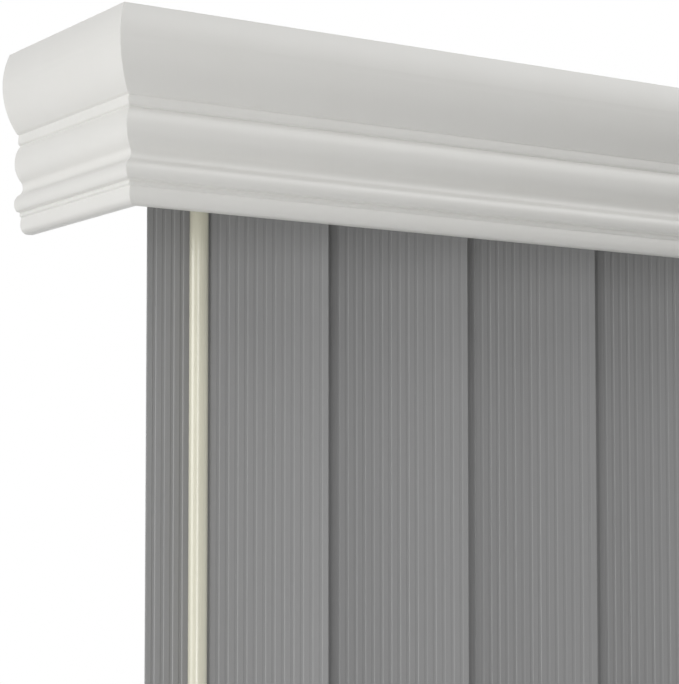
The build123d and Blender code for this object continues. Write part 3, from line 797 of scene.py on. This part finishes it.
class BLIND_OT_wand(bpy.types.Operator):
    """Wand tube with its cap, hook and grip"""

    bl_idname = "blind.wand"
    bl_label = "Wand"

    def execute(self, context):
        look = context.scene.blind_wand
        finish = wand_finish(look)
        centre = ((TUBE_LOW.x + TUBE_HIGH.x) / 2, (TUBE_LOW.y + TUBE_HIGH.y) / 2)
        radius = (TUBE_HIGH.x - TUBE_LOW.x) / 2
        self.tube(look, finish, centre, radius)
        self.cap(look, finish, centre, radius - look.wall)
        self.grip(finish, centre, radius)
        self.hook(look, steel_finish(context.scene.blind_fitting), centre)
        return {"FINISHED"}

    def tube(self, look, finish, centre, radius):
        """Open tube: outside, upper rim, bore and lower rim between four rings."""
        low, high = TUBE_LOW.z, TUBE_HIGH.z
        bore = radius - look.wall
        rows = [(radius, low, 0), (radius, high, 0), (bore, high, 0), (bore, low, 0)]
        shell = Shell()
        shell.rings(turned_rings(rows, centre, TUBE_COLUMNS), np.linspace(0, 2 * np.pi * radius, TUBE_COLUMNS + 1),
                    np.cumsum([0, high - low, look.wall, high - low, look.wall]), closed=True)
        shell.piece("wand_rod", finish, "wand", "wand", ["wand_tube"])

    def cap(self, look, finish, centre, bore):
        """Turned cap: a rounded head on a plug inside the tube, bored for the hook."""
        head_share, rounding = 0.966, 0.0008
        head = (CAP_HIGH.x - CAP_LOW.x) / 2 * head_share
        plug = bore - 0.0002
        hole = look.wire / 2 + 0.0001
        low, high, shoulder = CAP_LOW.z, CAP_HIGH.z, TUBE_HIGH.z
        crown = [(head - rounding * (1 - np.cos(t)), high - rounding * (1 - np.sin(t)), 0)
                 for t in np.linspace(0, np.pi / 2, ROUND_POINTS)]
        rows = [(plug, low, 0), (plug, shoulder, 0), (head, shoulder, 0), *crown,
                (hole, high, 0), (hole, low + look.hole_floor, 0)]
        turned(rows, centre, CAP_COLUMNS).piece("wand_end_cap", finish, "wand", "wand", ["wand_cap"])

    def grip(self, finish, centre, radius):
        """Faceted grip with eased edges, shut at its foot, with a socket for the tube."""
        sides, corner = 12, 1.03
        bevel, rim_share, gap = 0.0015, 0.6, 0.0001
        flats = (GRIP_HIGH.y - GRIP_LOW.y) / 2 * np.cos(np.pi / sides)
        low, high = GRIP_LOW.z, GRIP_HIGH.z
        turn = np.linspace(0, np.pi / 2, ROUND_POINTS)
        heel = [(flats - bevel * (1 - np.sin(t)), low + bevel * (1 - np.cos(t)), np.sin(t)) for t in turn]
        rim = [(flats - bevel * rim_share * (1 - np.cos(t)), high - bevel * (1 - np.sin(t)), np.cos(t)) for t in turn]
        rows = [*heel, *rim, (radius + gap, high, 0), (radius + gap, TUBE_LOW.z - gap, 0)]
        shell = turned(rows, centre, GRIP_COLUMNS, sides, corner)
        shell.piece("wand_faceted_grip", finish, "wand", "wand", ["wand_grip"])

    def hook(self, look, finish, centre):
        """Round wire carried along the hook's line."""
        path = hook_path(look, centre, CAP_LOW.z + look.hook_foot)
        slope = np.gradient(path, axis=0)
        slope /= np.linalg.norm(slope, axis=1, keepdims=True)
        side = np.array([1.0, 0.0, 0.0])
        lift = np.cross(slope, side)[:, None]
        angles = np.arange(WIRE_COLUMNS)[:, None] * 2 * np.pi / WIRE_COLUMNS
        sections = path[:, None] + look.wire / 2 * (np.cos(angles) * side + np.sin(angles) * lift)
        shell = carried(sections, np.arange(len(path)) * HOOK_STEP)
        shell.piece("wand_wire_hook", finish, "wand", "spring_steel", ["wand_hook"])


class BLIND_OT_rail(bpy.types.Operator):
    """Headrail channel, the rod in it and the threaded worms on the rod"""

    bl_idname = "blind.rail"
    bl_label = "Headrail"

    def execute(self, context):
        look = context.scene.blind_fitting
        lip = (RAIL_HIGH.y - RAIL_LOW.y) / 2
        middle = (RAIL_HIGH.y + RAIL_LOW.y) / 2
        side, wall, slot = lip - look.rail_lip, look.rail_wall, look.rail_slot / 2
        top, foot = RAIL_HIGH.z, RAIL_LOW.z
        right = [(lip, top), (lip, top - wall), (side, top - wall), (side, foot), (slot, foot), (slot, foot + wall),
                 (side - wall, foot + wall), (side - wall, top - wall)]
        outline = np.concatenate([right, np.array(right[::-1]) * [-1, 1]])
        section = softened(outline, look.rail_edge) + [middle, 0]
        sections = [np.insert(section, 0, x, axis=1) for x in (RAIL_LOW.x, RAIL_HIGH.x)]
        shell = carried(np.stack(sections), [0, RAIL_HIGH.x - RAIL_LOW.x])
        shell.piece("headrail_channel", rail_finish(look), "frame", "rail", ["headrail"])
        dress("tilt_rod", rod_finish(look))
        self.worms(look, moulded_finish(look))
        return {"FINISHED"}

    def worms(self, look, finish):
        """Threaded sleeves on the six-sided rod.

        The radius at turn t and place x is the root plus the thread's depth times a rounded tooth of x / lead - t,
        fading out at both ends.
        """
        flank, crest, run_out = 5, 0.7, 0.0012
        length = WORM_HIGH.x - WORM_LOW.x
        outer = max(WORM_HIGH.y - WORM_LOW.y, WORM_HIGH.z - WORM_LOW.z) / 2
        turn = np.arange(WORM_COLUMNS) / WORM_COLUMNS
        along = np.linspace(0, length, WORM_RINGS)[:, None]
        tooth = np.clip(np.abs((along / look.thread_lead - turn) % 1 - 0.5) * flank - crest, 0, 1)
        fade = np.clip(np.minimum(along, length - along) / run_out, 0, 1)
        reach = outer - look.thread_depth + look.thread_depth * smooth(tooth) * fade
        angles = turn * 2 * np.pi
        bore = look.worm_bore / 2 / np.cos((angles + np.pi / 6) % (np.pi / 3) - np.pi / 6)
        reach = np.concatenate([reach, bore[None], bore[None]])
        along = np.append(along, [length, 0.0])
        across = np.append(turn, 1.0) * 2 * np.pi * outer
        bodies = frame["record"]["behaviour"]["bodies"]
        for node in WORM_NODES:
            low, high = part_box(node)
            middle = (low + high) / 2
            rings = np.stack([np.broadcast_to(low.x + along[:, None], reach.shape),
                              middle.y + reach * np.cos(angles), middle.z + reach * np.sin(angles)], -1)
            shell = Shell()
            shell.rings(rings, across, np.append(along, 0.0), closed=True)
            body = next(name for name, nodes in bodies.items() if node in nodes)
            shell.piece(node + "_threaded", finish, body, "moulded", [node], 50)


def dress(node, material):
    """Gives a CAD node's own mesh a material."""
    piece = NODES[node]
    if not piece.material_slots:
        piece.data.materials.append(material)
    for slot in piece.material_slots:
        slot.material = material


class BLIND_OT_fittings(bpy.types.Operator):
    """Finishes of carriers, stems, caps, clips, brackets, links and rivets"""

    bl_idname = "blind.fittings"
    bl_label = "Fittings"

    def execute(self, context):
        look = context.scene.blind_fitting
        finishes = {
            "moulded": moulded_finish(look),
            "clear_clip": clip_finish(look),
            "bracket": bracket_finish(look),
            "spring_steel": steel_finish(look),
        }
        for part in frame["record"]["subparts"]:
            piece = NODES[part["node"]]
            if part["material_slot"] in finishes and not piece.hide_render:
                dress(part["node"], finishes[part["material_slot"]])
        return {"FINISHED"}


class BLIND_OT_stage(bpy.types.Operator):
    """Camera at the photograph's angle, soft lamps, a pale floor and a white backdrop"""

    bl_idname = "blind.stage"
    bl_label = "Stage"

    def execute(self, context):
        look = context.scene.blind_stage
        self.camera(context, look)
        self.world(context, look)
        for name, power, share, *place in LAMPS:
            self.lamp(context, name + "_lamp", getattr(look, power) * share, *place)
        self.floor(context, look)
        context.scene.view_settings.view_transform = "Standard"
        return {"FINISHED"}

    def camera(self, context, look):
        data = bpy.data.cameras.new("camera")
        data.lens = look.lens
        data.sensor_width = 36
        data.shift_y = look.shift
        data.clip_start = 0.01
        camera = bpy.data.objects.new("camera", data)
        camera.location = look.camera_place
        camera.rotation_euler = (np.pi / 2 + look.camera_pitch, 0, -look.camera_yaw)
        context.scene.collection.objects.link(camera)
        context.scene.camera = camera

    def lamp(self, context, name, power, turn, rise, wide, tall, far):
        """Soft oval lamp at a distance from the blind, turned from the room side towards the left end."""
        data = bpy.data.lights.new(name, "AREA")
        data.energy = power
        data.shape = "ELLIPSE"
        data.size = wide
        data.size_y = tall
        turn, rise = np.radians(turn), np.radians(rise)
        away = Vector((-np.sin(turn) * np.cos(rise), -np.cos(turn) * np.cos(rise), np.sin(rise)))
        lamp = bpy.data.objects.new(name, data)
        lamp.location = LAMP_AIM + away * far
        lamp.rotation_euler = (-away).to_track_quat("-Z", "Y").to_euler()
        lamp.visible_camera = False
        context.scene.collection.objects.link(lamp)

    def world(self, context, look):
        """White to the eye and in reflections, and a plain even light on everything else."""
        world = bpy.data.worlds.new("studio")
        world.use_nodes = True
        tree = world.node_tree
        tree.nodes.clear()
        seen = Wire.add(tree, "ShaderNodeLightPath", {}, {})
        path = seen.socket.node.outputs
        eye, gloss, through = (Wire(tree, path[name]) for name in
                               ("Is Camera Ray", "Is Glossy Ray", "Is Transmission Ray"))
        light = Wire.add(tree, "ShaderNodeBackground", {}, {"Color": (1, 1, 1, 1), "Strength": look.ambient})
        white = Wire.add(tree, "ShaderNodeBackground", {}, {"Color": (1, 1, 1, 1), "Strength": 1.0})
        shown = Wire.add(tree, "ShaderNodeMixShader", {}, {0: eye + gloss + through, 1: light, 2: white})
        Wire.add(tree, "ShaderNodeOutputWorld", {}, {"Surface": shown})
        context.scene.world = world

    def floor(self, context, look):
        """Flat square grid, x and y from minus its reach to its reach."""
        row = FLOOR_SQUARES + 1
        side = np.linspace(-look.floor_reach, look.floor_reach, row)
        x, y = np.meshgrid(side, side, indexing="ij")
        points = np.stack([x, y, np.full(x.shape, look.floor_height)], -1).reshape(-1, 3)
        number = np.arange(row * row).reshape(row, row)
        quads = np.stack([number[:-1, :-1], number[1:, :-1], number[1:, 1:], number[:-1, 1:]], -1).reshape(-1, 4)
        mesh = bpy.data.meshes.new("studio_floor")
        mesh.from_pydata(points.tolist(), [], quads.tolist())
        mesh.materials.append(floor_finish())
        floor = bpy.data.objects.new("studio_floor", mesh)
        context.scene.collection.objects.link(floor)


class BLIND_PT_pieces(bpy.types.Panel):
    """Sizes, colours and pieces of the blind"""

    bl_idname = "BLIND_PT_pieces"
    bl_label = "Vertical Blind"
    bl_space_type = "VIEW_3D"
    bl_region_type = "UI"
    bl_category = "Blind"

    def draw(self, context):
        for operator, look in OPERATORS.items():
            box = self.layout.box()
            box.operator(operator.bl_idname)
            settings = getattr(context.scene, look)
            for name in settings.bl_rna.properties.keys():
                if name not in ("rna_type", "name"):
                    box.prop(settings, name)


LOOKS = {"blind_stage": StageLook, "blind_valance": ValanceLook, "blind_fitting": FittingLook,
         "blind_vane": VaneLook, "blind_wand": WandLook}
OPERATORS = {BLIND_OT_stage: "blind_stage", BLIND_OT_valance: "blind_valance", BLIND_OT_rail: "blind_fitting",
             BLIND_OT_vanes: "blind_vane", BLIND_OT_wand: "blind_wand", BLIND_OT_fittings: "blind_fitting"}


def register():
    for kind in (*LOOKS.values(), *OPERATORS, BLIND_PT_pieces):
        bpy.utils.register_class(kind)
    for name, kind in LOOKS.items():
        setattr(bpy.types.Scene, name, PointerProperty(type=kind))


def unregister():
    for name in LOOKS:
        delattr(bpy.types.Scene, name)
    for kind in (BLIND_PT_pieces, *reversed(OPERATORS), *reversed(LOOKS.values())):
        bpy.utils.unregister_class(kind)


def main():
    register()
    bpy.ops.blind.stage()
    bpy.ops.blind.valance()
    bpy.ops.blind.rail()
    bpy.ops.blind.vanes()
    bpy.ops.blind.wand()
    bpy.ops.blind.fittings()


if __name__ == "__main__":
    main()
